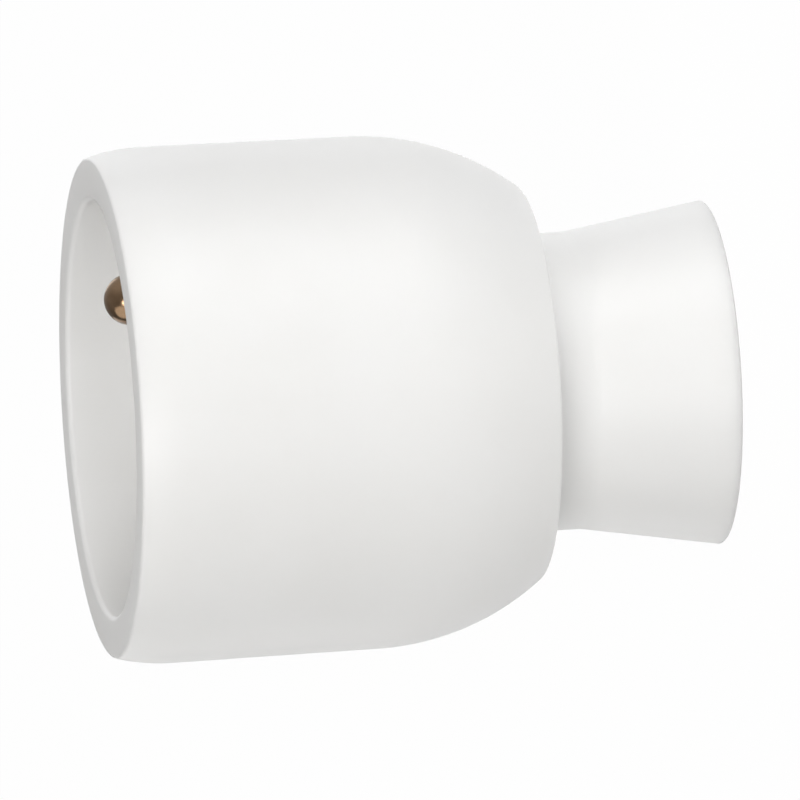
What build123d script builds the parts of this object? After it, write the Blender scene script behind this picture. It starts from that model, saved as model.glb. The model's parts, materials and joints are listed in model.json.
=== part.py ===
from build123d import *
import os
from math import hypot, radians, sqrt, tan

# Portable cable socket, two poles and earth: a one-piece hood with a flared tail around a contact insert.
# Millimetres. The socket stands on the end of its tail. The origin is the centre of that end, +Z runs
# along the axis to the mouth, the two contact holes lie on X and the earth pin stands on +Y.

# The plug that the socket takes
pin_diameter = 4.8
pin_length = 19.0
pin_pitch = 19.0
earth_offset = 10.0
earth_tip_recess = 0.95
well_diameter = 39.0
well_depth = 15.0
cord_diameter = 8.4

# Clearances
thread_gap = 0.05  # between a screw, ring or turned piece and its hole, on the radius
insert_gap = 0.15  # between the face and the well
slide_gap = 0.3  # around the shutter
pocket_gap = 0.3  # around metal pieces in moulded pockets
hood_gap = 0.5  # between the insert and the inside of the hood

# Hood: the barrel is sized from the well and the tail from its bore, lengths add up from the tail's end
mouth_wall = 4.65
barrel_draft = 0.15
lip_setback = 0.75
lip_round_length = 5.2
shoulder_length = 15.8
shoulder_wall = 3.0
tail_wall = 2.44
neck_step = 4.45
neck_length = 4.3
flare_length = 13.2
flare_growth = 2.2
rear_wall = 2.0
rear_room = 1.0
lip_inner_round = 0.5
lip_outer_round = 0.35
rear_corner_round = 0.9
neck_round = 1.1
neck_blend = 3.6  # between the neck and the straight side of the flare
tail_edge_round = 0.3
rib_depth = 1.8
rib_thickness = 2.0
rib_angle = 25.0
hood_boss_width = 7.6
hood_boss_height = 8.5

# Insert mouldings
face_thickness = 3.5
entry_margin = 0.6  # contact hole beyond the pin, on the radius
entry_chamfer = 0.6
shutter_height = 6.5
shutter_cover = 0.3  # shutter beyond the contact hole, on each side
ramp_edge = 1.0  # thickness of the shutter where its ramp ends
bridge_drop = 1.0  # middle of the shutter below its ends
shutter_floor_thickness = 1.4
spring_seat_depth = 1.5
spring_seat_wall = 1.05
wiring_room_radius = 4.0
base_thickness = 2.0
trough_length = 14.5
trough_wall = 1.8
wire_hole_radius = 1.8

# Contacts and earth pin
sleeve_wall = 0.85
sleeve_slit = 0.7
sleeve_end = 1.0  # solid end of the sleeve below the pin
pin_end_room = 0.3
contact_end_gap = 0.2
ring_thickness = 0.6
ring_height = 1.0
ring_groove = 0.3
ring_opening = 2.0
block_width = 6.4
block_length = 7.0
block_height = 5.2
tunnel_radius = 1.5
earth_root_step = 0.3  # pin's root in the face beyond the pin, on the radius
earth_barrel_step = 0.5  # barrel behind the face beyond the root, on the radius
earth_end_gap = 0.4
earth_wire_depth = 6.0
earth_screw_height = 2.7

# Springs and fasteners
spring_radius = 1.3
spring_wire_radius = 0.2
spring_turns = 8
spring_pocket_depth = 5.0
terminal_screw_radius = 1.45
terminal_head_radius = 2.3
terminal_head_height = 1.9
terminal_head_lift = 0.7
insert_screw_x = 8.5
insert_screw_y = 8.5
insert_screw_radius = 1.2
insert_head_radius = 2.2
insert_head_height = 1.2
insert_boss_wall = 1.35
insert_boss_height = 4.0
insert_screw_bite = 1.75  # depth of the screw holes in the face itself
hood_screw_radius = 1.5
hood_head_radius = 2.9
hood_head_angle = 90.0
hood_screw_length = 20.5
hood_nut_width = 5.0
hood_nut_height = 2.0
hood_nut_depth = 3.4
retainer_width = 1.2
retainer_height = 0.7
clamp_screw_radius = 1.25
clamp_head_radius = 1.9
clamp_head_height = 1.8
clamp_edge = 2.3  # from a clamp screw's axis to the outer end of the clamp
clamp_width = 5.0
clamp_height = 5.5  # of the clamp above the end of the trough, at its middle
clamp_gap = 0.6
clamp_ear = 2.5
clamp_block_depth = 4.7
clamp_nut_width = 4.2
clamp_nut_height = 1.8
slot_width = 0.7
slot_depth = 0.7

# Radii of the plug's pins, of the holes that take them and of the contacts around them
pin_radius = pin_diameter / 2
contact_bore = pin_radius + thread_gap
entry_radius = pin_radius + entry_margin
sleeve_radius = contact_bore + sleeve_wall
groove_radius = sleeve_radius - ring_groove
ring_inner = groove_radius + thread_gap
ring_outer = ring_inner + ring_thickness
chamber_radius = max(ring_outer, sleeve_radius) + pocket_gap
earth_root_radius = pin_radius + earth_root_step
earth_barrel_radius = earth_root_radius + earth_barrel_step
cord_radius = cord_diameter / 2

# Cord clamp: its screw heads stand beside the saddle's half ring, and its outermost corner sets the bore
# of the neck that it passes through
saddle_radius = cord_radius + trough_wall
clamp_top = clamp_gap / 2 + clamp_ear
clamp_screw_x = sqrt(saddle_radius**2 - clamp_top**2) + clamp_head_radius + pocket_gap
clamp_reach = clamp_screw_x + clamp_edge
clamp_bottom = -clamp_gap / 2 - clamp_block_depth
neck_bore = hypot(clamp_reach, clamp_bottom) + hood_gap

# Heights, from the end of the tail to the mouth
bell_rear = flare_length + neck_length
cavity_floor = bell_rear + rear_wall
base_back = cavity_floor + rear_room
carrier_back = base_back + base_thickness
contact_back = carrier_back + contact_end_gap
contact_floor = contact_back + sleeve_end
well_floor = contact_floor + pin_end_room + pin_length
carrier_front = well_floor - face_thickness
bay_height = shutter_height + 2 * slide_gap
bay_floor = carrier_front - bay_height
chamber_top = bay_floor - shutter_floor_thickness
mouth = well_floor + well_depth
shoulder_top = bell_rear + shoulder_length
lip_round_start = mouth - lip_round_length
hood_boss_top = cavity_floor + hood_boss_height

# Radii of the hood and of the insert inside it
well_radius = well_diameter / 2
barrel_front_radius = well_radius + mouth_wall
barrel_rear_radius = barrel_front_radius - barrel_draft
lip_radius = barrel_front_radius - lip_setback
neck_radius = neck_bore + tail_wall
flare_end_radius = neck_radius + flare_growth
shoulder_end_radius = neck_radius + neck_step
shoulder_drop = barrel_rear_radius - shoulder_end_radius
face_radius = well_radius - insert_gap
rib_radius = well_radius - rib_depth
carrier_radius = rib_radius - pocket_gap

# The shoulder is an arc that leaves the barrel smoothly, and the cavity behind it keeps an even wall
shoulder_radius = (shoulder_length**2 + shoulder_drop**2) / (2 * shoulder_drop)
shoulder_centre = barrel_rear_radius - shoulder_radius
cavity_arc = shoulder_radius - shoulder_wall


def cavity_radius(height):
    return shoulder_centre + sqrt(cavity_arc**2 - (shoulder_top - height) ** 2)


cavity_arc_top = shoulder_top - sqrt(cavity_arc**2 - (well_radius - shoulder_centre) ** 2)
cavity_arc_middle = (cavity_arc_top + cavity_floor) / 2
base_radius = cavity_radius(base_back) - hood_gap

# Shutter: it covers both holes at rest and slides towards -Y to clear them
pin_x = pin_pitch / 2
pin_spots = [(-pin_x, 0), (pin_x, 0)]
paddle_half = entry_radius + shutter_cover
shutter_half_length = pin_x + entry_radius + shutter_cover
shutter_travel = paddle_half + entry_radius + slide_gap
shutter_back = bay_floor + slide_gap
shutter_front = shutter_back + shutter_height
bay_front = paddle_half + slide_gap
bay_rear = -paddle_half - shutter_travel - slide_gap
spring_seat = bay_rear - spring_seat_depth
spring_height = shutter_back + (shutter_height - bridge_drop) / 2
spring_pocket_radius = spring_radius + spring_wire_radius + slide_gap

# Hood screw, behind the spring's seat
hood_hole_radius = hood_screw_radius + pocket_gap
hood_screw_y = spring_seat - spring_seat_wall - hood_hole_radius
hood_boss_depth = 2 * (hood_nut_width / 2 + pocket_gap)
hood_boss_front = hood_screw_y + hood_boss_depth / 2
hood_head_height = (hood_head_radius - hood_screw_radius) / tan(radians(hood_head_angle / 2))

# Terminal blocks, behind each sleeve towards -Y
block_front = -contact_bore - sleeve_wall / 2
block_rear = block_front - block_length
tunnel_y = (block_front + block_rear) / 2 - sleeve_wall / 2
terminal_height = contact_back + block_height / 2
earth_terminal_height = carrier_back + earth_screw_height
screw_slot_half = terminal_head_radius + pocket_gap
insert_spots = [(-insert_screw_x, insert_screw_y), (insert_screw_x, insert_screw_y)]
insert_boss_radius = insert_screw_radius + insert_boss_wall
clamp_middle = base_back - trough_length + clamp_height


# Screws with a slotted cheese head: each plane is the seat of a head and faces out of it
def slotted_screws(seats, head_radius, head_height, shank_radius, shank_length):
    with BuildPart() as screws:
        for seat in seats:
            with BuildSketch(seat):
                Circle(head_radius)
            extrude(amount=head_height)
            with BuildSketch(seat):
                Circle(shank_radius)
            extrude(amount=-shank_length)
            with BuildSketch(seat.offset(head_height)):
                Rectangle(3 * head_radius, slot_width)
            extrude(amount=-slot_depth, mode=Mode.SUBTRACT)
    return screws


# Square nuts with a plain hole: each plane is the lower face of a nut
def square_nuts(seats, width, height, hole_radius):
    with BuildPart() as nuts:
        for seat in seats:
            with BuildSketch(seat):
                Rectangle(width, width)
                Circle(hole_radius, mode=Mode.SUBTRACT)
            extrude(amount=height)
    return nuts


# Split brass sleeve for one plug pin, with a terminal block on its side
def pin_contact(x):
    with BuildPart() as contact:
        with BuildSketch(Plane.XY.offset(contact_back)):
            with Locations((x, 0)):
                Circle(sleeve_radius)
        extrude(amount=chamber_top - contact_end_gap - contact_back)
        with BuildSketch(Plane.XY.offset(contact_back + block_height + thread_gap)):
            with Locations((x, 0)):
                Circle(sleeve_radius)
                Circle(groove_radius, mode=Mode.SUBTRACT)
        extrude(amount=ring_height + 2 * thread_gap, mode=Mode.SUBTRACT)
        with BuildSketch(Plane.XY.offset(contact_back)):
            with Locations((x, (block_front + block_rear) / 2)):
                Rectangle(block_width, block_length)
        extrude(amount=block_height)
        with BuildSketch(Plane.XY.offset(contact_floor)):
            with Locations((x, 0)):
                Circle(contact_bore)
        extrude(amount=chamber_top - contact_floor, mode=Mode.SUBTRACT)
        with BuildSketch(Plane.XY.offset(contact_floor + sleeve_end)):
            with Locations((x, 0)):
                Rectangle(3 * sleeve_radius, sleeve_slit)
        extrude(amount=chamber_top - contact_floor, mode=Mode.SUBTRACT)
        with BuildSketch(Plane.XY.offset(contact_back)):
            with Locations((x, tunnel_y)):
                Circle(tunnel_radius)
        extrude(amount=block_height, mode=Mode.SUBTRACT)
        with BuildSketch(Plane.XZ.offset(-tunnel_y)):
            with Locations((x, terminal_height)):
                Circle(terminal_screw_radius + thread_gap)
        extrude(amount=tunnel_y - block_rear, mode=Mode.SUBTRACT)
    return contact


# Open steel ring that presses the two halves of a sleeve together
def pressure_ring(x):
    with BuildPart() as ring:
        with BuildSketch(Plane.XY.offset(contact_back + block_height + 2 * thread_gap)):
            with Locations((x, 0)):
                Circle(ring_outer)
                Circle(ring_inner, mode=Mode.SUBTRACT)
            with Locations((x, ring_outer)):
                Rectangle(ring_opening, 2 * ring_outer - ring_inner, mode=Mode.SUBTRACT)
        extrude(amount=ring_height)
    return ring


# Hood: bell, lip, shoulder, neck and flared tail in one moulding
with BuildPart() as hood:
    with BuildSketch(Plane.XZ) as hood_profile:
        with BuildLine():
            Polyline(
                (flare_end_radius, 0),
                (neck_radius, flare_length),
                (neck_radius, bell_rear),
                (shoulder_end_radius, bell_rear),
            )
            TangentArc(
                (barrel_rear_radius, shoulder_top),
                (shoulder_end_radius, bell_rear),
                tangent=(0, -1),
            )
            Line((barrel_rear_radius, shoulder_top), (barrel_front_radius, lip_round_start))
            TangentArc(
                (barrel_front_radius, lip_round_start),
                (lip_radius, mouth),
                tangent=(0, 1),
            )
            Polyline((lip_radius, mouth), (well_radius, mouth), (well_radius, cavity_arc_top))
            ThreePointArc(
                (well_radius, cavity_arc_top),
                (cavity_radius(cavity_arc_middle), cavity_arc_middle),
                (cavity_radius(cavity_floor), cavity_floor),
            )
            Polyline(
                (cavity_radius(cavity_floor), cavity_floor),
                (neck_bore, cavity_floor),
                (neck_bore, flare_length),
                (flare_end_radius - tail_wall, 0),
                (flare_end_radius, 0),
            )
        make_face()
        rounded_corners = [
            ((flare_end_radius, 0), tail_edge_round),
            ((flare_end_radius - tail_wall, 0), tail_edge_round),
            ((neck_radius, flare_length), neck_blend),
            ((neck_radius, bell_rear), neck_round),
            ((shoulder_end_radius, bell_rear), rear_corner_round),
            ((lip_radius, mouth), lip_outer_round),
            ((well_radius, mouth), lip_inner_round),
        ]
        for corner, corner_round in rounded_corners:
            fillet(hood_profile.vertices().sort_by_distance(corner)[0], corner_round)
    revolve(axis=Axis.Z)
    with BuildSketch(Plane.XY.offset(carrier_back)):
        for angle in (rib_angle, 180 - rib_angle, 180 + rib_angle, 360 - rib_angle):
            with PolarLocations(rib_radius + (rib_depth + hood_gap) / 2, 1, start_angle=angle):
                Rectangle(rib_depth + hood_gap, rib_thickness)
    extrude(amount=carrier_front - carrier_back)
    with BuildSketch(Plane.XY.offset(cavity_floor - hood_gap)):
        with Locations((0, hood_screw_y)):
            Rectangle(hood_boss_width, hood_boss_depth)
    extrude(amount=hood_boss_top - cavity_floor + hood_gap)
    with BuildSketch(Plane.XY.offset(cavity_floor + hood_gap)):
        with Locations((0, hood_screw_y)):
            Circle(hood_hole_radius)
    extrude(amount=hood_boss_height, mode=Mode.SUBTRACT)
    with BuildSketch(Plane.XY.offset(hood_boss_top - hood_nut_depth - thread_gap)):
        with Locations((0, hood_screw_y + pocket_gap)):
            Rectangle(hood_nut_width + 2 * thread_gap, hood_boss_depth)
    extrude(amount=hood_nut_height + 2 * thread_gap, mode=Mode.SUBTRACT)

# Floor of the well, with two bosses behind it for the insert screws
with BuildPart() as socket_face:
    with BuildSketch(Plane.XY.offset(carrier_front)):
        Circle(face_radius)
        with Locations(*pin_spots):
            Circle(entry_radius, mode=Mode.SUBTRACT)
        with Locations((0, earth_offset)):
            Circle(earth_root_radius + thread_gap, mode=Mode.SUBTRACT)
    extrude(amount=face_thickness)
    with BuildSketch(Plane.XY.offset(carrier_front - insert_boss_height)):
        with Locations(*insert_spots):
            Circle(insert_boss_radius)
    extrude(amount=insert_boss_height)
    with BuildSketch(Plane.XY.offset(carrier_front - insert_boss_height)):
        with Locations(*insert_spots):
            Circle(insert_screw_radius + thread_gap)
    extrude(amount=insert_boss_height + insert_screw_bite, mode=Mode.SUBTRACT)
    with Locations((0, hood_screw_y, well_floor)):
        CounterSinkHole(hood_hole_radius, hood_head_radius + thread_gap, face_thickness, hood_head_angle)
    entries = socket_face.edges().filter_by(GeomType.CIRCLE).group_by(Axis.Z)[-1]
    chamfer(entries.filter_by(lambda edge: abs(edge.radius - entry_radius) < thread_gap), entry_chamfer)

# Insulating block behind the face: shutter bay in front, contact chambers behind
with BuildPart() as contact_carrier:
    with BuildSketch(Plane.XY.offset(carrier_back)):
        Circle(carrier_radius)
    extrude(amount=carrier_front - carrier_back)
    with BuildSketch(Plane.XY.offset(bay_floor)):
        with Locations((0, (bay_front + bay_rear) / 2)):
            Rectangle(2 * (shutter_half_length + slide_gap), bay_front - bay_rear)
        with Locations((0, (bay_front + spring_seat) / 2)):
            Rectangle(2 * spring_pocket_radius, bay_front - spring_seat)
    extrude(amount=bay_height, mode=Mode.SUBTRACT)
    with BuildSketch(Plane.XY.offset(chamber_top)):
        with Locations(*pin_spots):
            Circle(entry_radius)
    extrude(amount=shutter_floor_thickness, mode=Mode.SUBTRACT)
    with BuildSketch(Plane.XY.offset(carrier_back)):
        with Locations(*pin_spots):
            Circle(chamber_radius)
        Circle(wiring_room_radius)
    extrude(amount=chamber_top - carrier_back, mode=Mode.SUBTRACT)
    with BuildSketch(Plane.XY.offset(carrier_back)):
        for x in (-pin_x, pin_x):
            with Locations((x, (block_rear - pocket_gap) / 2)):
                Rectangle(block_width + 2 * pocket_gap, pocket_gap - block_rear)
    extrude(amount=contact_end_gap + block_height + pocket_gap, mode=Mode.SUBTRACT)
    with BuildSketch(Plane.XZ.offset(-block_rear)):
        for x in (-pin_x, pin_x):
            with Locations((x, terminal_height)):
                Circle(screw_slot_half)
            with Locations((x, (carrier_back + terminal_height) / 2)):
                Rectangle(2 * screw_slot_half, terminal_height - carrier_back)
    extrude(amount=carrier_radius, mode=Mode.SUBTRACT)
    with BuildSketch(Plane.XY.offset(carrier_back)):
        with Locations((0, earth_offset)):
            Circle(earth_barrel_radius + thread_gap)
    extrude(amount=carrier_front - carrier_back, mode=Mode.SUBTRACT)
    with BuildSketch(Plane.XZ.offset(-earth_offset)):
        with Locations((0, earth_terminal_height)):
            Circle(screw_slot_half)
        with Locations((0, (carrier_back + earth_terminal_height) / 2)):
            Rectangle(2 * screw_slot_half, earth_terminal_height - carrier_back)
    extrude(amount=-carrier_radius, mode=Mode.SUBTRACT)
    with BuildSketch(Plane.XY.offset(carrier_back)):
        with Locations(*insert_spots):
            Circle(insert_screw_radius + thread_gap)
    extrude(amount=carrier_front - carrier_back, mode=Mode.SUBTRACT)
    with BuildSketch(Plane.XY.offset(carrier_front - insert_boss_height - pocket_gap)):
        with Locations(*insert_spots):
            Circle(insert_boss_radius + thread_gap)
    extrude(amount=insert_boss_height + pocket_gap, mode=Mode.SUBTRACT)
    with BuildSketch(Plane.XY.offset(carrier_back)):
        with Locations((0, hood_screw_y)):
            Circle(hood_hole_radius)
    extrude(amount=carrier_front - carrier_back, mode=Mode.SUBTRACT)
    with BuildSketch(Plane.XY.offset(carrier_front - retainer_height - pocket_gap)):
        with Locations((0, hood_screw_y)):
            Circle(hood_screw_radius + retainer_width + thread_gap)
    extrude(amount=retainer_height + pocket_gap, mode=Mode.SUBTRACT)
    with BuildSketch(Plane.XY.offset(carrier_back)):
        with Locations((0, hood_boss_front + pocket_gap - carrier_radius / 2)):
            Rectangle(hood_boss_width + 2 * pocket_gap, carrier_radius)
    extrude(amount=hood_boss_top + pocket_gap - carrier_back, mode=Mode.SUBTRACT)

# Safety shutter: a ramp under each contact hole and a bridge between them with the spring's pocket
with BuildPart() as shutter:
    with BuildSketch(Plane.YZ.offset(-shutter_half_length)):
        with BuildLine():
            Polyline(
                (-paddle_half, shutter_back),
                (paddle_half, shutter_back),
                (paddle_half, shutter_back + ramp_edge),
                (-paddle_half + ramp_edge, shutter_front),
                (-paddle_half, shutter_front),
                close=True,
            )
        make_face()
    extrude(amount=2 * shutter_half_length)
    bridge_half_length = pin_x - entry_radius - shutter_cover
    with BuildSketch(Plane.XY.offset(shutter_back)):
        Rectangle(2 * bridge_half_length, 2 * paddle_half)
    extrude(amount=shutter_height, mode=Mode.SUBTRACT)
    with BuildSketch(Plane.XY.offset(shutter_back)):
        Rectangle(2 * bridge_half_length, 2 * paddle_half)
    extrude(amount=shutter_height - bridge_drop)
    with BuildSketch(Plane.XZ.offset(paddle_half)):
        with Locations((0, spring_height)):
            Circle(spring_pocket_radius)
    extrude(amount=-spring_pocket_depth, mode=Mode.SUBTRACT)

# Compression spring between the bridge of the shutter and its seat in the carrier
spring_front = spring_pocket_depth - paddle_half - spring_wire_radius - thread_gap
spring_length = spring_front - spring_seat - spring_wire_radius - thread_gap
with BuildPart() as shutter_spring:
    with BuildLine() as coil:
        Helix(
            pitch=spring_length / spring_turns,
            height=spring_length,
            radius=spring_radius,
            center=(0, spring_front, spring_height),
            direction=(0, -1, 0),
        )
    with BuildSketch(Plane(coil.line @ 0, z_dir=coil.line % 0)):
        Circle(spring_wire_radius)
    sweep(is_frenet=True)

live_contact = pin_contact(-pin_x)
neutral_contact = pin_contact(pin_x)
live_pressure_ring = pressure_ring(-pin_x)
neutral_pressure_ring = pressure_ring(pin_x)

# Terminal screws: the shanks end in the middle of the wire tunnels
terminal_seat = block_rear - terminal_head_lift
terminal_shank = tunnel_y - terminal_seat
terminal_sizes = (terminal_head_radius, terminal_head_height, terminal_screw_radius)
live_seat = Plane((-pin_x, terminal_seat, terminal_height), x_dir=(1, 0, 0), z_dir=(0, -1, 0))
live_terminal_screw = slotted_screws([live_seat], *terminal_sizes, terminal_shank)
neutral_seat = Plane((pin_x, terminal_seat, terminal_height), x_dir=(1, 0, 0), z_dir=(0, -1, 0))
neutral_terminal_screw = slotted_screws([neutral_seat], *terminal_sizes, terminal_shank)
earth_shank = earth_barrel_radius + terminal_head_lift
earth_seat = Plane(
    (0, earth_offset + earth_shank, earth_terminal_height), x_dir=(1, 0, 0), z_dir=(0, 1, 0)
)
earth_terminal_screw = slotted_screws([earth_seat], *terminal_sizes, earth_shank)

# Earth pin: domed pin in the well, its thicker root in the face, and behind it a barrel with a wire hole
with BuildPart() as earth_pin:
    with BuildSketch(Plane.XZ.offset(-earth_offset)):
        with BuildLine():
            Polyline(
                (0, carrier_back + earth_end_gap),
                (earth_barrel_radius, carrier_back + earth_end_gap),
                (earth_barrel_radius, carrier_front),
                (earth_root_radius, carrier_front),
                (earth_root_radius, well_floor),
                (pin_radius, well_floor),
                (pin_radius, mouth - earth_tip_recess - pin_radius),
            )
            RadiusArc(
                (pin_radius, mouth - earth_tip_recess - pin_radius),
                (0, mouth - earth_tip_recess),
                -pin_radius,
            )
            Line((0, mouth - earth_tip_recess), (0, carrier_back + earth_end_gap))
        make_face()
    revolve(axis=Axis((0, earth_offset, 0), (0, 0, 1)))
    with BuildSketch(Plane.XY.offset(carrier_back + earth_end_gap)):
        with Locations((0, earth_offset)):
            Circle(tunnel_radius)
    extrude(amount=earth_wire_depth, mode=Mode.SUBTRACT)
    with BuildSketch(Plane.XZ.offset(-earth_offset)):
        with Locations((0, earth_terminal_height)):
            Circle(terminal_screw_radius + thread_gap)
    extrude(amount=-2 * earth_barrel_radius, mode=Mode.SUBTRACT)

# Plate behind the contacts, and the trough and blocks of the cord clamp
with BuildPart() as cord_clamp_base:
    with BuildSketch(Plane.XY.offset(base_back)):
        Circle(base_radius)
        Circle(cord_radius, mode=Mode.SUBTRACT)
        with Locations((-pin_x, tunnel_y), (pin_x, tunnel_y), (0, earth_offset)):
            Circle(wire_hole_radius, mode=Mode.SUBTRACT)
        with Locations(*insert_spots):
            Circle(insert_screw_radius + thread_gap, mode=Mode.SUBTRACT)
        with Locations((0, hood_boss_front + pocket_gap - carrier_radius / 2)):
            Rectangle(hood_boss_width + 2 * pocket_gap, carrier_radius, mode=Mode.SUBTRACT)
    extrude(amount=base_thickness)
    with BuildSketch(Plane.XY.offset(base_back)):
        with Locations(*insert_spots):
            Circle(insert_head_radius + thread_gap)
    extrude(amount=insert_head_height, mode=Mode.SUBTRACT)
    with BuildSketch(Plane.XY.offset(base_back)):
        Circle(saddle_radius)
        Circle(cord_radius, mode=Mode.SUBTRACT)
        with Locations((0, saddle_radius - clamp_gap / 2)):
            Rectangle(3 * saddle_radius, 2 * saddle_radius, mode=Mode.SUBTRACT)
    extrude(amount=-trough_length)
    with BuildSketch(Plane.XY.offset(clamp_middle - clamp_width / 2)):
        with Locations((0, clamp_bottom / 2 - clamp_gap / 4)):
            Rectangle(2 * clamp_reach, clamp_block_depth)
        Circle(cord_radius, mode=Mode.SUBTRACT)
    extrude(amount=clamp_width)
    for x in (-clamp_screw_x, clamp_screw_x):
        with BuildSketch(Plane.XZ.offset(-clamp_bottom)):
            with Locations((x, clamp_middle)):
                Circle(clamp_screw_radius + thread_gap)
        extrude(amount=-clamp_block_depth, mode=Mode.SUBTRACT)
        with BuildSketch(Plane.XZ.offset(-clamp_bottom)):
            with Locations((x, clamp_middle)):
                Rectangle(clamp_nut_width + 2 * thread_gap, clamp_nut_width + 2 * thread_gap)
        extrude(amount=-clamp_nut_height, mode=Mode.SUBTRACT)

# Saddle over the cord: a half ring with an ear and a screw hole on each side
with BuildPart() as cord_clamp_bar:
    with BuildSketch(Plane.XY.offset(clamp_middle - clamp_width / 2)):
        Circle(saddle_radius)
        with Locations((0, clamp_top - clamp_ear / 2)):
            Rectangle(2 * clamp_reach, clamp_ear)
        with Locations((0, clamp_gap / 2 - clamp_reach)):
            Rectangle(3 * clamp_reach, 2 * clamp_reach, mode=Mode.SUBTRACT)
        Circle(cord_radius, mode=Mode.SUBTRACT)
    extrude(amount=clamp_width)
    with BuildSketch(Plane.XZ.offset(-clamp_gap / 2)):
        with Locations((-clamp_screw_x, clamp_middle), (clamp_screw_x, clamp_middle)):
            Circle(clamp_screw_radius + thread_gap)
    extrude(amount=-clamp_ear, mode=Mode.SUBTRACT)

# Screws and nuts of the cord clamp
clamp_seats = [
    Plane((x, clamp_top, clamp_middle), x_dir=(1, 0, 0), z_dir=(0, 1, 0))
    for x in (-clamp_screw_x, clamp_screw_x)
]
cord_clamp_screws = slotted_screws(
    clamp_seats, clamp_head_radius, clamp_head_height, clamp_screw_radius, clamp_top - clamp_bottom
)
nut_seats = [
    Plane((x, clamp_bottom, clamp_middle), x_dir=(1, 0, 0), z_dir=(0, 1, 0))
    for x in (-clamp_screw_x, clamp_screw_x)
]
cord_clamp_nuts = square_nuts(
    nut_seats, clamp_nut_width, clamp_nut_height, clamp_screw_radius + thread_gap
)

# Two long screws that hold base, carrier and face together
insert_seats = [
    Plane((x, y, base_back + insert_head_height), x_dir=(1, 0, 0), z_dir=(0, 0, -1))
    for x, y in insert_spots
]
insert_shank = carrier_front + insert_screw_bite - pocket_gap - base_back - insert_head_height
insert_screws = slotted_screws(
    insert_seats, insert_head_radius, insert_head_height, insert_screw_radius, insert_shank
)

# Countersunk screw in the floor of the well, its captive washer and its nut in the hood's boss
with BuildPart() as hood_screw:
    with BuildSketch(Plane.XZ.offset(-hood_screw_y)):
        with BuildLine():
            Polyline(
                (0, well_floor),
                (hood_head_radius, well_floor),
                (hood_screw_radius, well_floor - hood_head_height),
                (hood_screw_radius, well_floor - hood_screw_length),
                (0, well_floor - hood_screw_length),
                close=True,
            )
        make_face()
    revolve(axis=Axis((0, hood_screw_y, 0), (0, 0, 1)))
    with BuildSketch(Plane.XY.offset(well_floor)):
        with Locations((0, hood_screw_y)):
            Rectangle(3 * hood_head_radius, slot_width)
    extrude(amount=-slot_depth, mode=Mode.SUBTRACT)

with BuildPart() as hood_screw_retainer:
    with BuildSketch(Plane.XY.offset(carrier_front - retainer_height)):
        with Locations((0, hood_screw_y)):
            Circle(hood_screw_radius + retainer_width)
            Circle(hood_screw_radius + thread_gap, mode=Mode.SUBTRACT)
    extrude(amount=retainer_height)

hood_nut_seat = Plane((0, hood_screw_y, hood_boss_top - hood_nut_depth))
hood_nut = square_nuts(
    [hood_nut_seat], hood_nut_width, hood_nut_height, hood_screw_radius + thread_gap
)

os.makedirs("parts", exist_ok=True)
pieces = {
    "hood": hood,
    "socket_face": socket_face,
    "contact_carrier": contact_carrier,
    "shutter": shutter,
    "shutter_spring": shutter_spring,
    "live_contact": live_contact,
    "neutral_contact": neutral_contact,
    "live_pressure_ring": live_pressure_ring,
    "neutral_pressure_ring": neutral_pressure_ring,
    "live_terminal_screw": live_terminal_screw,
    "neutral_terminal_screw": neutral_terminal_screw,
    "earth_terminal_screw": earth_terminal_screw,
    "earth_pin": earth_pin,
    "cord_clamp_base": cord_clamp_base,
    "cord_clamp_bar": cord_clamp_bar,
    "cord_clamp_screws": cord_clamp_screws,
    "cord_clamp_nuts": cord_clamp_nuts,
    "insert_screws": insert_screws,
    "hood_screw": hood_screw,
    "hood_screw_retainer": hood_screw_retainer,
    "hood_nut": hood_nut,
}
for name, piece in pieces.items():
    piece.part.label = name
    export_step(piece.part, f"parts/{name}.step")
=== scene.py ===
import bpy
import bmesh
import json
import math
from mathutils import Matrix, Vector


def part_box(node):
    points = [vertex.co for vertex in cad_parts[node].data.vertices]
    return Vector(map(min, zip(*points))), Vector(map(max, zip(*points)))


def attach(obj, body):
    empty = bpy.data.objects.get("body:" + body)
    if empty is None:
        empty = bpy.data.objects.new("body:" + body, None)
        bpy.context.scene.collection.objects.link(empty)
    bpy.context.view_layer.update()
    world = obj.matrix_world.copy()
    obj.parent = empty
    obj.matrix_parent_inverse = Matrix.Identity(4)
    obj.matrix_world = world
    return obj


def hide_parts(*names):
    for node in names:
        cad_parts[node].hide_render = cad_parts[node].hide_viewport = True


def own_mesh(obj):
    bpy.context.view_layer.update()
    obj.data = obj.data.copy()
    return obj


# Portable cable socket: white moulded hood around a shuttered contact insert, metres, standing on its tail
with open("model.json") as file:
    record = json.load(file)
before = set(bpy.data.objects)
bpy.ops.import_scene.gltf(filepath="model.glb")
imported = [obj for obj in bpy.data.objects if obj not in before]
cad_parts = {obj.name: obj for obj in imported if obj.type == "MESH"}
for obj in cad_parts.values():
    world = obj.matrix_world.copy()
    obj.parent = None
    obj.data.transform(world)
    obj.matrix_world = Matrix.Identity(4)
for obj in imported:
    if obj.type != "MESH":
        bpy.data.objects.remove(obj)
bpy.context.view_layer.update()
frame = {"nodes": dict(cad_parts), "record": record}
print("frame loaded,", len(frame["nodes"]), "nodes")


# Finishes

def startMaterial(name):
    material = bpy.data.materials.new(name)
    material.use_nodes = True
    nodes = material.node_tree.nodes
    return material, nodes, material.node_tree.links, nodes["Principled BSDF"]


def noiseField(nodes, links, scale, detail):
    coords = nodes.new("ShaderNodeTexCoord")
    noise = nodes.new("ShaderNodeTexNoise")
    noise.inputs["Scale"].default_value = scale
    noise.inputs["Detail"].default_value = detail
    links.new(coords.outputs["Object"], noise.inputs["Vector"])
    return noise.outputs["Fac"]


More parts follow.
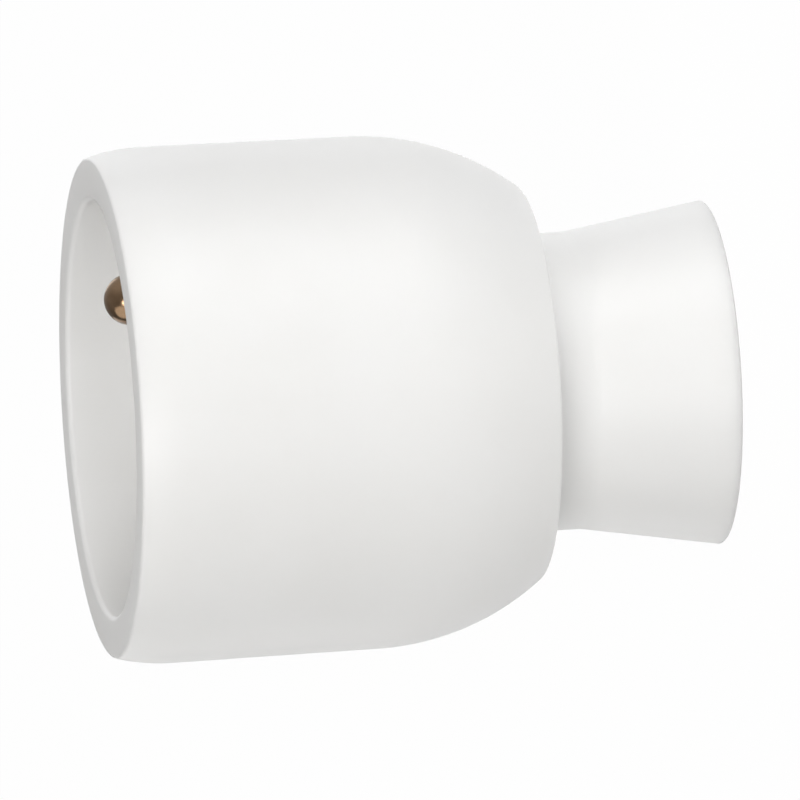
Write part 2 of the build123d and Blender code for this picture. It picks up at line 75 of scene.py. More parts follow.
# noise lies mostly between these values
noiseSpan = {"colourFrom": 0.35, "colourTo": 0.65, "valueFrom": 0.3, "valueTo": 0.7}
noiseDetail = {"clouds": 3, "smears": 4, "grain": 2, "waves": 1, "stains": 4, "metalSmears": 3}


def rampColours(nodes, links, field, first, last):
    ramp = nodes.new("ShaderNodeValToRGB")
    ramp.color_ramp.elements[0].position = noiseSpan["colourFrom"]
    ramp.color_ramp.elements[0].color = (*first, 1)
    ramp.color_ramp.elements[1].position = noiseSpan["colourTo"]
    ramp.color_ramp.elements[1].color = (*last, 1)
    links.new(field, ramp.inputs["Fac"])
    return ramp.outputs["Color"]


def spreadValues(nodes, links, field, low, high):
    spread = nodes.new("ShaderNodeMapRange")
    spread.inputs["From Min"].default_value = noiseSpan["valueFrom"]
    spread.inputs["From Max"].default_value = noiseSpan["valueTo"]
    spread.inputs["To Min"].default_value = low
    spread.inputs["To Max"].default_value = high
    links.new(field, spread.inputs["Value"])
    return spread.outputs["Result"]


def raiseBump(nodes, links, field, depth, strength, under=None):
    bump = nodes.new("ShaderNodeBump")
    bump.inputs["Distance"].default_value = depth
    bump.inputs["Strength"].default_value = strength
    links.new(field, bump.inputs["Height"])
    if under:
        links.new(under, bump.inputs["Normal"])
    return bump.outputs["Normal"]


mouldings = {
    "whiteMoulding": {
        "colours": ((0.900, 0.898, 0.889), (0.915, 0.915, 0.910)),
        "cloudScale": 70, "roughness": (0.36, 0.43), "smearScale": 160,
        "grainScale": 3200, "grainDepth": 0.00002, "grainStrength": 0.06,
        "waveScale": 110, "waveDepth": 0.0002, "waveStrength": 0.03, "specular": 0.5,
        "translucence": 1, "lightDepth": 0.002,
    },
    "carrierMoulding": {
        "colours": ((0.66, 0.65, 0.62), (0.73, 0.72, 0.69)),
        "cloudScale": 120, "roughness": (0.5, 0.6), "smearScale": 220,
        "grainScale": 2600, "grainDepth": 0.00004, "grainStrength": 0.15,
        "waveScale": 140, "waveDepth": 0.0002, "waveStrength": 0.04, "specular": 0.4,
    },
    "shutterMoulding": {
        "colours": ((0.74, 0.74, 0.73), (0.80, 0.80, 0.79)),
        "cloudScale": 140, "roughness": (0.38, 0.48), "smearScale": 240,
        "grainScale": 2800, "grainDepth": 0.00003, "grainStrength": 0.1,
        "waveScale": 160, "waveDepth": 0.0002, "waveStrength": 0.03, "specular": 0.45,
    },
    "retainerNylon": {
        "colours": ((0.030, 0.030, 0.031), (0.055, 0.055, 0.056)),
        "cloudScale": 300, "roughness": (0.42, 0.55), "smearScale": 400,
        "grainScale": 3000, "grainDepth": 0.00003, "grainStrength": 0.12,
        "waveScale": 200, "waveDepth": 0.0001, "waveStrength": 0.04, "specular": 0.5,
    },
}


def mouldedPlastic(name, look):
    material, nodes, links, shader = startMaterial(name)
    clouds = noiseField(nodes, links, look["cloudScale"], noiseDetail["clouds"])
    smears = noiseField(nodes, links, look["smearScale"], noiseDetail["smears"])
    grain = noiseField(nodes, links, look["grainScale"], noiseDetail["grain"])
    waves = noiseField(nodes, links, look["waveScale"], noiseDetail["waves"])
    links.new(rampColours(nodes, links, clouds, *look["colours"]), shader.inputs["Base Color"])
    links.new(spreadValues(nodes, links, smears, *look["roughness"]), shader.inputs["Roughness"])
    sink = raiseBump(nodes, links, waves, look["waveDepth"], look["waveStrength"])
    skin = raiseBump(nodes, links, grain, look["grainDepth"], look["grainStrength"], sink)
    links.new(skin, shader.inputs["Normal"])
    shader.inputs["Specular IOR Level"].default_value = look["specular"]
    if "lightDepth" in look:  # light goes a little way into the white plastic
        shader.inputs["Subsurface Weight"].default_value = look["translucence"]
        shader.inputs["Subsurface Radius"].default_value = (1, 1, 1)
        shader.inputs["Subsurface Scale"].default_value = look["lightDepth"]
    return material


metals = {
    "earthBrass": {
        "colours": ((0.21, 0.135, 0.08), (0.32, 0.215, 0.135)),
        "stainScale": 420, "roughness": (0.15, 0.24), "smearScale": 900,
        "ringScale": 900, "ringDepth": 0.00001, "ringStrength": 0.1,
    },
    "contactBrass": {
        "colours": ((0.62, 0.46, 0.22), (0.74, 0.58, 0.33)),
        "stainScale": 300, "roughness": (0.22, 0.34), "smearScale": 700,
        "ringScale": 700, "ringDepth": 0.00001, "ringStrength": 0.15,
    },
    "springSteel": {
        "colours": ((0.50, 0.51, 0.53), (0.60, 0.61, 0.63)),
        "stainScale": 500, "roughness": (0.2, 0.32), "smearScale": 900,
        "ringScale": 800, "ringDepth": 0.00001, "ringStrength": 0.1,
    },
    "zincSteel": {
        "colours": ((0.55, 0.56, 0.57), (0.68, 0.685, 0.70)),
        "stainScale": 600, "roughness": (0.26, 0.4), "smearScale": 800,
        "ringScale": 650, "ringDepth": 0.00001, "ringStrength": 0.14,
    },
}
ringWobble = 0.6


def turnedMetal(name, look, axisPoint=(0, 0, 0)):
    material, nodes, links, shader = startMaterial(name)
    stains = noiseField(nodes, links, look["stainScale"], noiseDetail["stains"])
    smears = noiseField(nodes, links, look["smearScale"], noiseDetail["metalSmears"])
    links.new(rampColours(nodes, links, stains, *look["colours"]), shader.inputs["Base Color"])
    links.new(spreadValues(nodes, links, smears, *look["roughness"]), shader.inputs["Roughness"])
    coords = nodes.new("ShaderNodeTexCoord")
    centring = nodes.new("ShaderNodeMapping")  # brings the turning axis to the middle of the rings
    centring.inputs["Location"].default_value = -Vector(axisPoint)
    rings = nodes.new("ShaderNodeTexWave")
    rings.wave_type = "RINGS"
    rings.rings_direction = "Z"
    rings.inputs["Scale"].default_value = look["ringScale"]
    rings.inputs["Distortion"].default_value = ringWobble
    links.new(coords.outputs["Object"], centring.inputs["Vector"])
    links.new(centring.outputs["Vector"], rings.inputs["Vector"])
    marks = raiseBump(nodes, links, rings.outputs["Fac"], look["ringDepth"], look["ringStrength"])
    links.new(marks, shader.inputs["Normal"])
    shader.inputs["Metallic"].default_value = 1
    return material


pinLow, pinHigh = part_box("earth_pin")
pinAxis = ((pinLow.x + pinHigh.x) / 2, (pinLow.y + pinHigh.y) / 2, 0)
finishes = {name: mouldedPlastic(name, look) for name, look in mouldings.items()}
for name, look in metals.items():
    finishes[name] = turnedMetal(name, look, pinAxis if name == "earthBrass" else (0, 0, 0))
slotFinish = {
    "white_moulding": "whiteMoulding",
    "carrier_moulding": "carrierMoulding",
    "shutter_moulding": "shutterMoulding",
    "retainer_nylon": "retainerNylon",
    "contact_brass": "contactBrass",
    "earth_brass": "earthBrass",
    "spring_steel": "springSteel",
    "zinc_steel": "zincSteel",
}
for subpart in frame["record"]["subparts"]:
    node = frame["nodes"][subpart["node"]]
    node.data.materials.clear()
    node.data.materials.append(finishes[slotFinish[subpart["material_slot"]]])
print("finishes made,", len(finishes))


# Modelling, in millimetres until a piece is finished
mm = 0.001
lathe = {"roundSegments": 6, "weldGap": 0.0001}
edgeFinish = {"sharpAngle": 35, "softSegments": 2, "triangleGap": 0.001}
recordSlots = {subpart["node"]: subpart["material_slot"] for subpart in frame["record"]["subparts"]}
nodeBodies = {}
for body, members in frame["record"]["behaviour"]["bodies"].items():
    for node in members:
        nodeBodies[node] = body


def nodeBox(node):
    low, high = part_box(node)
    return low / mm, high / mm


def arcCorners(centre, radius, start, end, steps):
    corners = []
    for step in range(steps + 1):
        angle = start + (end - start) * step / steps
        corners.append((centre[0] + radius * math.cos(angle), centre[1] + radius * math.sin(angle), 0))
    return corners


def turnOnLathe(corners, steps, closed=False):
    bm = bmesh.new()
    verts = [bm.verts.new((radius, 0, height)) for radius, height, rounding in corners]
    for first, last in zip(verts, verts[1:]):
        bm.edges.new((first, last))
    if closed:
        bm.edges.new((verts[-1], verts[0]))
    for vert, (radius, height, rounding) in zip(verts, corners):
        if rounding:
            sides = [edge.other_vert(vert).co - vert.co for edge in vert.link_edges]
            reach = rounding / math.tan(sides[0].angle(sides[1]) / 2)
            bmesh.ops.bevel(
                bm, geom=[vert], offset=reach, affect="VERTICES",
                segments=lathe["roundSegments"], profile=0.5, material=-1,
            )
    bmesh.ops.spin(
        bm, geom=bm.verts[:] + bm.edges[:], cent=(0, 0, 0), axis=(0, 0, 1),
        angle=2 * math.pi, steps=steps, use_merge=True,
    )
    bmesh.ops.remove_doubles(bm, verts=bm.verts, dist=lathe["weldGap"])
    bmesh.ops.recalc_face_normals(bm, faces=bm.faces)
    return bm


def plugBetween(radius, low, high, rounding=0):
    return [(0, low, 0), (radius, low, 0), (radius, high, rounding), (0, high, 0)]


def boxBetween(low, high):
    bm = bmesh.new()
    bmesh.ops.create_cube(bm, size=1)
    bmesh.ops.scale(bm, vec=Vector(high) - Vector(low), verts=bm.verts)
    bmesh.ops.translate(bm, vec=(Vector(high) + Vector(low)) / 2, verts=bm.verts)
    return bm


def movedTo(bm, place):
    bmesh.ops.translate(bm, vec=place, verts=bm.verts)
    return bm


def joined(parts):
    whole = bmesh.new()
    for bm in parts:
        mesh = bpy.data.meshes.new("joining")
        bm.to_mesh(mesh)
        bm.free()
        whole.from_mesh(mesh)
        bpy.data.meshes.remove(mesh)
    return whole


def combined(target, tool, operation):
    holders = []
    for bm in (target, tool):
        mesh = bpy.data.meshes.new("combining")
        bm.to_mesh(mesh)
        bm.free()
        holder = bpy.data.objects.new("combining", mesh)
        bpy.context.scene.collection.objects.link(holder)
        holders.append(holder)
    change = holders[0].modifiers.new("combine", "BOOLEAN")
    change.operation = operation
    change.object = holders[1]
    change.solver = "EXACT"
    result = bmesh.new()
    result.from_object(holders[0], bpy.context.evaluated_depsgraph_get())
    for holder in holders:
        bpy.data.meshes.remove(holder.data)
    return result


def softenEdges(holder, width):
    edges = holder.modifiers.new("softEdges", "BEVEL")
    edges.width = width * mm
    edges.segments = edgeFinish["softSegments"]
    edges.limit_method = "ANGLE"
    edges.angle_limit = math.radians(edgeFinish["sharpAngle"])
    edges.harden_normals = False


def finishPiece(bm, node, name, sharp=edgeFinish["sharpAngle"], soften=0):
    bmesh.ops.scale(bm, vec=(mm, mm, mm), verts=bm.verts)
    for face in bm.faces:
        face.smooth = True
    mesh = bpy.data.meshes.new(name)
    bm.to_mesh(mesh)
    bm.free()
    mesh.set_sharp_from_angle(angle=math.radians(sharp))
    mesh.materials.append(finishes[slotFinish[recordSlots[node]]])
    piece = bpy.data.objects.new(name, mesh)
    bpy.context.scene.collection.objects.link(piece)
    if soften:
        softenEdges(piece, soften)
    even = piece.modifiers.new("evenNormals", "WEIGHTED_NORMAL")
    even.keep_sharp = True
    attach(piece, nodeBodies[node])
    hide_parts(node)
    return piece


# Hood: bell, lip, shoulder, neck and flared tail
hoodShape = {
    "lipSetback": 0.75, "lipRoundLength": 5.2, "lipOuterRound": 0.35, "lipInnerRound": 0.5,
    "barrelDraft": 0.15, "shoulderTop": 33.3, "shoulderEnd": 18.4, "shoulderWall": 3.0,
    "bellRear": 17.5, "rearRound": 0.9, "rearWall": 2.0, "wellGap": 0.15,
    "neck": 13.95, "neckRound": 1.1, "neckBlend": 3.6, "tailWall": 2.44,
    "flareLength": 13.2, "flareEnd": 16.15, "tailRound": 0.2,
    "ribAngle": 25, "ribSpread": 3, "ribGap": 0.3, "bossWidth": 7.6, "bossTop": 28.0, "bossHole": 1.8,
    "bossEdge": 0.3, "nutGap": 0.05, "bossRoot": 0.5, "holePast": 1,
    "steps": 180, "shoulderSteps": 30, "lipSteps": 10, "cavitySteps": 4, "holeSteps": 48,
}


def hoodOutline(shape, high, face, carrier):
    barrelFront, mouth = high.x, high.z
    barrelRear = barrelFront - shape["barrelDraft"]
    well = face[1].x + shape["wellGap"]
    drop = barrelRear - shape["shoulderEnd"]
    length = shape["shoulderTop"] - shape["bellRear"]
    shoulderRadius = (length**2 + drop**2) / (2 * drop)
    shoulderCentre = (barrelRear - shoulderRadius, shape["shoulderTop"])
    setback, lipLength = shape["lipSetback"], shape["lipRoundLength"]
    lipRadius = (lipLength**2 + setback**2) / (2 * setback)
    lipCentre = (barrelFront - lipRadius, mouth - lipLength)
    cavityRadius = shoulderRadius - shape["shoulderWall"]
    cavityFloor = shape["bellRear"] + shape["rearWall"]
    bore = shape["neck"] - shape["tailWall"]

    def cavityAngle(height):
        return math.asin((height - shape["shoulderTop"]) / cavityRadius)

    wallAngle = -math.acos((well - shoulderCentre[0]) / cavityRadius)
    outline = [
        (shape["flareEnd"], 0, shape["tailRound"]),
        (shape["neck"], shape["flareLength"], shape["neckBlend"]),
        (shape["neck"], shape["bellRear"], shape["neckRound"]),
    ]
    rearAngle, lipAngle = math.asin(-length / shoulderRadius), math.asin(lipLength / lipRadius)
    rear, *shoulder = arcCorners(shoulderCentre, shoulderRadius, rearAngle, 0, shape["shoulderSteps"])
    outline += [(rear[0], rear[1], shape["rearRound"]), *shoulder]
    *lip, edge = arcCorners(lipCentre, lipRadius, 0, lipAngle, shape["lipSteps"])
    outline += [*lip, (edge[0], edge[1], shape["lipOuterRound"])]
    outline += [(well, mouth, shape["lipInnerRound"]), (well, face[1].z, 0), (well, carrier[1].z, 0)]
    ribAngle, floorAngle = cavityAngle(carrier[0].z), cavityAngle(cavityFloor)
    outline += arcCorners(shoulderCentre, cavityRadius, wallAngle, ribAngle, shape["cavitySteps"])
    outline += arcCorners(shoulderCentre, cavityRadius, ribAngle, floorAngle, shape["cavitySteps"])[1:]
    outline += [
        (bore, cavityFloor, shape["tailRound"]),
        (bore, shape["flareLength"], 0),
        (shape["flareEnd"] - shape["tailWall"], 0, shape["tailRound"]),
    ]
    return outline


def raiseRibs(bm, shape, carrier):
    ribRadius = carrier[1].x + shape["ribGap"]
    side = shape["ribAngle"]
    for angle in (side, 180 - side, 180 + side, 360 - side):
        faces = []
        for face in bm.faces:
            middle = face.calc_center_median()
            turn = math.degrees(math.atan2(middle.y, middle.x)) % 360
            inside = face.normal.dot(Vector((middle.x, middle.y, 0))) < 0
            if inside and carrier[0].z < middle.z < carrier[1].z and abs(turn - angle) < shape["ribSpread"]:
                faces.append(face)
        edges = [edge for edge in bm.edges if any(face in faces for face in edge.link_faces)]
        raised = bmesh.ops.extrude_face_region(bm, geom=faces + edges)
        for vert in raised["geom"]:
            if isinstance(vert, bmesh.types.BMVert):
                flat = Vector((vert.co.x, vert.co.y))
                vert.co.xy = flat.normalized() * ribRadius


def makeHood(shape):
    face, carrier, nut = nodeBox("socket_face"), nodeBox("contact_carrier"), nodeBox("hood_nut")
    bm = turnOnLathe(hoodOutline(shape, nodeBox("hood")[1], face, carrier), shape["steps"], closed=True)
    raiseRibs(bm, shape, carrier)
    cavityFloor = shape["bellRear"] + shape["rearWall"]
    half, gap, edge = shape["bossWidth"] / 2, shape["nutGap"], shape["bossEdge"]
    boss = boxBetween(
        (-half, nut[0].y - edge, cavityFloor - shape["bossRoot"]), (half, nut[1].y + edge, shape["bossTop"]),
    )
    bm = combined(bm, boss, "UNION")
    nutMiddle = (nut[0] + nut[1]) / 2
    foot, top = cavityFloor + shape["bossRoot"], shape["bossTop"] + shape["holePast"]
    hole = turnOnLathe(plugBetween(shape["bossHole"], foot, top), shape["holeSteps"])
    bm = combined(bm, movedTo(hole, (nutMiddle.x, nutMiddle.y, 0)), "DIFFERENCE")
    pocket = boxBetween(
        (nut[0].x - gap, nut[0].y, nut[0].z - gap), (nut[1].x + gap, nut[1].y + 2 * edge, nut[1].z + gap),
    )
    bm = combined(bm, pocket, "DIFFERENCE")
    finishPiece(bm, "hood", "hoodMoulding")


makeHood(hoodShape)
print("hood turned")


# Earth pin: domed brass pin, thicker root in the face, barrel with a wire hole behind
pinShape = {
    "pinRadius": 2.4, "rootRadius": 2.7, "wireHole": 1.5, "wireDepth": 6.0, "screwHole": 1.5,
    "screwHeight": 2.7, "edge": 0.15, "domeSteps": 16, "steps": 96, "holeSteps": 48,
}


def makeEarthPin(shape):
    low, high = nodeBox("earth_pin")
    face, carrier = nodeBox("socket_face"), nodeBox("contact_carrier")
    place = Vector(((low.x + high.x) / 2, (low.y + high.y) / 2, 0))
    barrel, radius, edge = (high.x - low.x) / 2, shape["pinRadius"], shape["edge"]
    outline = [
        (0, low.z + shape["wireDepth"], 0),
        (shape["wireHole"], low.z + shape["wireDepth"], 0),
        (shape["wireHole"], low.z, edge),
        (barrel, low.z, edge),
        (barrel, carrier[1].z, edge),
        (shape["rootRadius"], carrier[1].z, 0),
        (shape["rootRadius"], face[1].z, edge),
        (radius, face[1].z, 0),
    ]
    outline += arcCorners((0, high.z - radius), radius, 0, math.pi / 2, shape["domeSteps"])
    bm = turnOnLathe(outline, shape["steps"])
    drill = turnOnLathe(plugBetween(shape["screwHole"], 0, 2 * barrel), shape["holeSteps"])
    sideways = Matrix.Rotation(-math.pi / 2, 3, "X")
    bmesh.ops.rotate(drill, cent=(0, 0, 0), matrix=sideways, verts=drill.verts)
    movedTo(drill, (0, 0, carrier[0].z + shape["screwHeight"]))
    finishPiece(movedTo(combined(bm, drill, "DIFFERENCE"), place), "earth_pin", "earthPin")


makeEarthPin(pinShape)
print("earth pin turned")


# Floor of the well: contact holes, earth hole, countersunk screw hole and the bosses behind
faceShape = {
    "entryRadius": 3.0, "entryChamfer": 0.6, "entryInnerRound": 0.25, "entryOuterRound": 0.1,
    "pinPitch": 19.0, "earthGap": 0.05, "earthRoot": 2.7, "rimRound": 0.2, "screwHole": 1.8,
    "sinkRadius": 2.95, "bossX": 8.5, "bossY": 8.5, "bossRadius": 2.55, "bossHole": 1.25,
    "bossBite": 1.75, "holePast": 1.0, "soften": 0.06, "steps": 128, "holeSteps": 64,
}


def makeFace(shape):
    low, high = nodeBox("socket_face")
    carrier, pin, screw = nodeBox("contact_carrier"), nodeBox("earth_pin"), nodeBox("hood_screw")
    back, top, steps, past = carrier[1].z, high.z, shape["holeSteps"], shape["holePast"]
    under, over = back - past, top + past
    disc = turnOnLathe(plugBetween(high.x, back, top, shape["rimRound"]), shape["steps"])
    bosses, holes = [], []
    for x in (-shape["bossX"], shape["bossX"]):
        boss = plugBetween(shape["bossRadius"], low.z, back + past)
        bosses.append(movedTo(turnOnLathe(boss, steps), (x, shape["bossY"], 0)))
        hole = plugBetween(shape["bossHole"], low.z - past, back + shape["bossBite"])
        holes.append(movedTo(turnOnLathe(hole, steps), (x, shape["bossY"], 0)))
    radius, chamfer = shape["entryRadius"], shape["entryChamfer"]
    wide = radius + chamfer
    entry = [
        (0, under, 0),
        (radius, under, 0),
        (radius, top - chamfer, shape["entryInnerRound"]),
        (wide, top, shape["entryOuterRound"]),
        (wide, over, 0),
        (0, over, 0),
    ]
    for x in (-shape["pinPitch"] / 2, shape["pinPitch"] / 2):
        holes.append(movedTo(turnOnLathe(entry, steps), (x, 0, 0)))
    earth = plugBetween(shape["earthRoot"] + shape["earthGap"], under, over)
    holes.append(movedTo(turnOnLathe(earth, steps), (0, (pin[0].y + pin[1].y) / 2, 0)))
    radius, sink = shape["screwHole"], shape["sinkRadius"]
    screwHole = [
        (0, under, 0),
        (radius, under, 0),
        (radius, top - sink + radius, 0),
        (sink, top, 0),
        (sink, over, 0),
        (0, over, 0),
    ]
    holes.append(movedTo(turnOnLathe(screwHole, steps), (0, (screw[0].y + screw[1].y) / 2, 0)))
    bm = combined(disc, joined(bosses), "UNION")
    bm = combined(bm, joined(holes), "DIFFERENCE")
    finishPiece(bm, "socket_face", "wellFloor", soften=shape["soften"])


makeFace(faceShape)
print("well floor cut")


# Screws: slotted heads and cut threads, two of a kind where a node holds a pair
terminalScrew = {"head": (2.3, 1.9), "shank": 1.45, "pitch": 0.45, "pair": False}
screwShapes = {
    "live_terminal_screw": {**terminalScrew, "out": (0, -1, 0)},
    "neutral_terminal_screw": {**terminalScrew, "out": (0, -1, 0)},
    "earth_terminal_screw": {**terminalScrew, "out": (0, 1, 0)},
    "insert_screws": {"out": (0, 0, -1), "head": (2.2, 1.2), "shank": 1.2, "pitch": 0.6, "pair": True},
    "cord_clamp_screws": {"out": (0, 1, 0), "head": (1.9, 1.8), "shank": 1.25, "pitch": 0.45, "pair": True},
    "hood_screw": {
        "out": (0, 0, 1), "head": (2.9, 1.4), "shank": 1.5, "pitch": 0.5, "pair": False, "sunk": True,
    },
}
screwCut = {
    "slotWidth": 0.7, "slotDepth": 0.7, "slotPast": 1, "plain": 0.6, "steps": 48, "threadSteps": 20,
    "threadDepth": 0.27, "threadBite": 0.03, "ridgeFoot": 0.45, "ridgeCrest": 0.07,
    "footRound": 0.15, "sunkRound": 0.08, "seatRound": 0.1, "topRound": 0.3,
}


def threadOn(shape, length):
    bm = bmesh.new()
    pitch, crest = shape["pitch"], shape["shank"]
    root = crest - screwCut["threadDepth"] - screwCut["threadBite"]
    foot, top = screwCut["ridgeFoot"], screwCut["ridgeCrest"]
    ridge = [(root, -foot), (crest, -top), (crest, top), (root, foot)]
    verts = [bm.verts.new((radius, 0, share * pitch - length + pitch)) for radius, share in ridge]
    for first, last in zip(verts, verts[1:] + verts[:1]):
        bm.edges.new((first, last))
    turns = math.floor((length - screwCut["plain"]) / pitch) - 1
    steps = turns * screwCut["threadSteps"]
    bmesh.ops.spin(
        bm, geom=bm.verts[:] + bm.edges[:], cent=(0, 0, 0), axis=(0, 0, 1),
        angle=turns * 2 * math.pi, dvec=(0, 0, pitch / screwCut["threadSteps"]), steps=steps,
    )
    ends = [edge for edge in bm.edges if edge.is_boundary]
    bmesh.ops.holes_fill(bm, edges=ends, sides=len(ridge))
    bmesh.ops.recalc_face_normals(bm, faces=bm.faces)
    return bm


def makeScrew(node, shape):
    low, high = nodeBox(node)
    out = Vector(shape["out"])
    headRadius, headHeight = shape["head"]
    length = abs(out.dot(high - low)) - headHeight
    core = shape["shank"] - screwCut["threadDepth"]
    outline = [(0, -length, 0), (core, -length, screwCut["footRound"]), (core, 0, 0)]
    if shape.get("sunk"):
        outline += [(shape["shank"], 0, 0), (headRadius, headHeight, screwCut["sunkRound"])]
    else:
        outline += [(headRadius, 0, screwCut["seatRound"]), (headRadius, headHeight, screwCut["topRound"])]
    outline.append((0, headHeight, 0))
    slot = boxBetween(
        (-2 * headRadius, -screwCut["slotWidth"] / 2, headHeight - screwCut["slotDepth"]),
        (2 * headRadius, screwCut["slotWidth"] / 2, headHeight + screwCut["slotPast"]),
    )
    body = combined(turnOnLathe(outline, screwCut["steps"]), slot, "DIFFERENCE")
    screw = joined([body, threadOn(shape, length)])
    turn = Vector((0, 0, 1)).rotation_difference(out).to_matrix()
    bmesh.ops.rotate(screw, cent=(0, 0, 0), matrix=turn, verts=screw.verts)
    middle = (low + high) / 2
    headEnd = high if sum(out) > 0 else low
    seat = Vector([headEnd[i] if out[i] else middle[i] for i in range(3)]) - out * headHeight
    if shape["pair"]:
        reach = (high.x - low.x) / 2 - headRadius
        mesh = bpy.data.meshes.new("screwPair")
        screw.to_mesh(mesh)
        bmesh.ops.translate(screw, vec=(-reach, 0, 0), verts=screw.verts)
        other = bmesh.new()
        other.from_mesh(mesh)
        bpy.data.meshes.remove(mesh)
        screw = joined([screw, movedTo(other, (reach, 0, 0))])
    nameWords = node.split("_")
    name = nameWords[0] + "".join(word.capitalize() for word in nameWords[1:])
    finishPiece(movedTo(screw, seat), node, name)


for node, shape in screwShapes.items():
    makeScrew(node, shape)
print("screws threaded,", len(screwShapes))


# Shutter spring: a coil of round wire
springShape = {"wire": 0.2, "turns": 8, "steps": 36, "wireSteps": 12, "sharpAngle": 60}


def windSpring(shape):
    low, high = nodeBox("shutter_spring")
    radius, wire = (high.x - low.x) / 2 - shape["wire"], shape["wire"]
    length = high.y - low.y - 2 * wire
    bm = bmesh.new()
    ring = bmesh.ops.create_circle(bm, segments=shape["wireSteps"], radius=wire)["verts"]
    upright = Matrix.Rotation(math.pi / 2, 3, "X")
    bmesh.ops.rotate(bm, cent=(0, 0, 0), matrix=upright, verts=ring)
    bmesh.ops.translate(bm, vec=(radius, 0, 0), verts=ring)
    steps = shape["turns"] * shape["steps"]
    bmesh.ops.spin(
        bm, geom=bm.verts[:] + bm.edges[:], cent=(0, 0, 0), axis=(0, 0, 1),
        angle=shape["turns"] * 2 * math.pi, dvec=(0, 0, length / steps), steps=steps,
    )
    ends = [edge for edge in bm.edges if edge.is_boundary]
    bmesh.ops.holes_fill(bm, edges=ends, sides=shape["wireSteps"])
    bmesh.ops.recalc_face_normals(bm, faces=bm.faces)
    bmesh.ops.rotate(bm, cent=(0, 0, 0), matrix=upright, verts=bm.verts)
    movedTo(bm, (0, high.y - wire, (low.z + high.z) / 2))
    spring = finishPiece(bm, "shutter_spring", "shutterSpring", sharp=shape["sharpAngle"])
    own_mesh(spring)


windSpring(springShape)
print("spring wound")


# Pieces that stay as the CAD made them get softened edges
softEdges = {
    "contact_carrier": 0.2, "shutter": 0.2, "cord_clamp_base": 0.25, "cord_clamp_bar": 0.25,
    "live_contact": 0.1, "neutral_contact": 0.1, "live_pressure_ring": 0.08, "neutral_pressure_ring": 0.08,
    "cord_clamp_nuts": 0.2, "hood_nut": 0.2, "hood_screw_retainer": 0.08,
}


def softenNode(node, width):
    holder = frame["nodes"][node]
    weld = holder.modifiers.new("joinTriangles", "WELD")
    weld.merge_threshold = edgeFinish["triangleGap"] * mm
    softenEdges(holder, width)


for node, width in softEdges.items():
    softenNode(node, width)
print("edges softened,", len(softEdges))


# Camera: level with the photograph, the mouth to the left and a little low
photoView = {
    "aim": (0, -0.00089, 0.02962), "elevation": 9.76, "roll": 3.4,
    "distance": 2.3, "frameWidth": 0.07486, "sensor": 36,
}


def placeCamera(view):
    tilt = math.radians(view["elevation"])
    roll = math.radians(view["roll"])
    back = Vector((math.cos(tilt), 0, math.sin(tilt)))
    along = Vector((-math.sin(tilt), 0, math.cos(tilt)))  # the socket's axis, as the camera sees it
    across = Vector((0, 1, 0))
    right = -math.cos(roll) * along - math.sin(roll) * across
    up = -math.sin(roll) * along + math.cos(roll) * across
    turn = Matrix((right, up, back)).transposed().to_4x4()
    data = bpy.data.cameras.new("photoCamera")
    data.sensor_width = view["sensor"]
    data.lens = view["sensor"] * view["distance"] / view["frameWidth"]
    camera = bpy.data.objects.new("photoCamera", data)
    camera.matrix_world = Matrix.Translation(Vector(view["aim"]) + view["distance"] * back) @ turn
    bpy.context.scene.collection.objects.link(camera)
    bpy.context.scene.camera = camera


placeCamera(photoView)
print("camera placed")


# Stage: white floor, soft lamps placed by their turn and lift around the socket, and a sky paler to one side
stage = {
    "floorRadius": 8, "floorSteps": 96, "floorColour": (0.9, 0.9, 0.9), "floorRoughness": 0.9,
    "whiteShare": 0.98,
}
sky = {"level": 0.32, "towards": (-0.02, 0.24, 0.1), "colour": (0.997, 0.99, 0.98)}
lampDistance = 1.3
coolLight, warmLight, tanLight = (0.98, 0.99, 1), (1, 0.994, 0.98), (1, 0.985, 0.95)
lamps = {
    "key": {"turn": 60, "lift": -7, "size": 1.0, "watts": 5.3, "colour": coolLight},
    "fill": {"turn": -17, "lift": 27, "size": 0.8, "watts": 7.1, "colour": warmLight},
    "glint": {"turn": -18, "lift": 39, "size": 0.3, "watts": 0.8, "colour": warmLight},
    "card": {"turn": -76, "lift": 32, "size": 1.5, "watts": 7, "colour": tanLight, "reflectedOnly": True},
    "backLeft": {"turn": 155, "lift": 4, "size": 0.9, "watts": 2.2, "colour": coolLight},
    "backRight": {"turn": -142, "lift": 4, "size": 0.9, "watts": 2, "colour": warmLight},
}


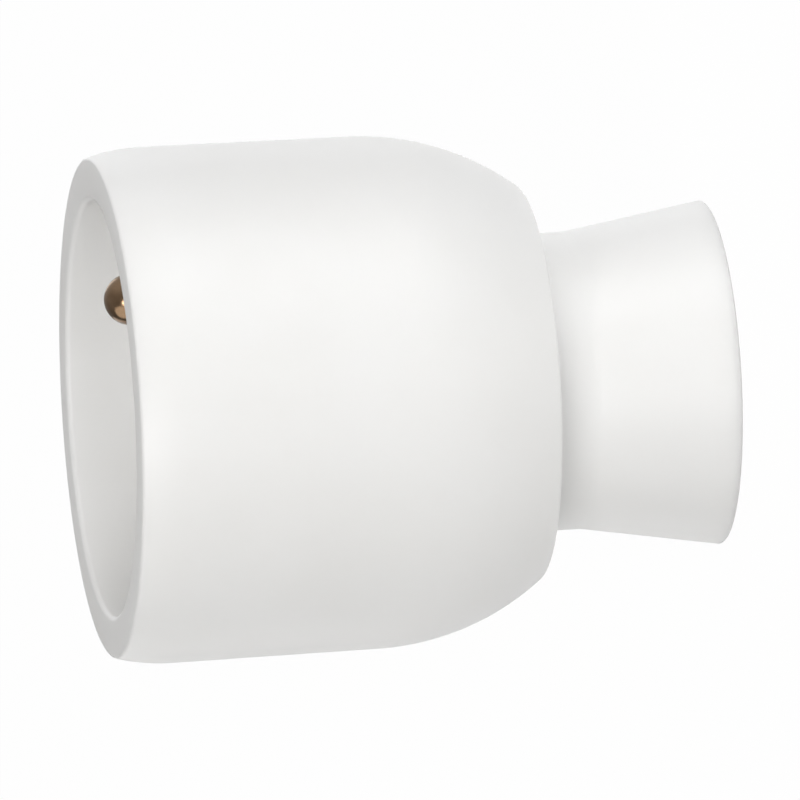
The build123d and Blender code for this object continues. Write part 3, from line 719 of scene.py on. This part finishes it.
def floorMaterial():
    material, nodes, links, shader = startMaterial("paleFloor")
    shader.inputs["Base Color"].default_value = (*stage["floorColour"], 1)
    shader.inputs["Roughness"].default_value = stage["floorRoughness"]
    glow = nodes.new("ShaderNodeEmission")
    glow.inputs["Strength"].default_value = 1  # plain white
    rays = nodes.new("ShaderNodeLightPath")
    seen = rays.outputs["Is Camera Ray"]
    for other in ("Is Glossy Ray", "Is Transmission Ray"):
        either = nodes.new("ShaderNodeMath")
        either.operation = "MAXIMUM"
        links.new(seen, either.inputs[0])
        links.new(rays.outputs[other], either.inputs[1])
        seen = either.outputs[0]
    share = nodes.new("ShaderNodeMath")
    share.operation = "MULTIPLY"
    share.inputs[1].default_value = stage["whiteShare"]
    links.new(seen, share.inputs[0])
    mix = nodes.new("ShaderNodeMixShader")
    links.new(share.outputs[0], mix.inputs["Fac"])
    links.new(shader.outputs["BSDF"], mix.inputs[1])
    links.new(glow.outputs["Emission"], mix.inputs[2])
    links.new(mix.outputs["Shader"], nodes["Material Output"].inputs["Surface"])
    return material


def layFloor():
    bm = bmesh.new()
    bmesh.ops.create_circle(bm, cap_ends=True, segments=stage["floorSteps"], radius=stage["floorRadius"])
    mesh = bpy.data.meshes.new("floor")
    bm.to_mesh(mesh)
    bm.free()
    floor = bpy.data.objects.new("floor", mesh)
    bpy.context.scene.collection.objects.link(floor)
    mesh.materials.append(floorMaterial())
    floor.visible_shadow = False  # the key lamp stands lower than the floor and shines through it


def hangLamps():
    for name, lamp in lamps.items():
        data = bpy.data.lights.new(name, "AREA")
        data.shape = "DISK"
        data.size = lamp["size"]
        data.energy = lamp["watts"]
        data.color = lamp["colour"]
        holder = bpy.data.objects.new(name, data)
        turn, lift = math.radians(lamp["turn"]), math.radians(lamp["lift"])
        level = math.cos(lift)
        away = Vector((level * math.cos(turn), level * math.sin(turn), math.sin(lift)))
        holder.location = Vector(photoView["aim"]) + lampDistance * away
        holder.rotation_euler = away.to_track_quat("Z", "Y").to_euler()
        holder.visible_diffuse = not lamp.get("reflectedOnly", False)
        bpy.context.scene.collection.objects.link(holder)


def paintSky():
    world = bpy.data.worlds.new("studioSky")
    world.use_nodes = True
    nodes = world.node_tree.nodes
    links = world.node_tree.links
    coords = nodes.new("ShaderNodeTexCoord")
    slope = nodes.new("ShaderNodeVectorMath")
    slope.operation = "DOT_PRODUCT"
    slope.inputs[1].default_value = sky["towards"]
    brightness = nodes.new("ShaderNodeMath")
    brightness.operation = "ADD"
    brightness.inputs[1].default_value = sky["level"]
    links.new(coords.outputs["Generated"], slope.inputs[0])
    links.new(slope.outputs["Value"], brightness.inputs[0])
    nodes["Background"].inputs["Color"].default_value = (*sky["colour"], 1)
    links.new(brightness.outputs["Value"], nodes["Background"].inputs["Strength"])
    bpy.context.scene.world = world


layFloor()
hangLamps()
paintSky()
bpy.context.scene.view_settings.view_transform = "Standard"
print("stage lit by", len(lamps), "lamps")
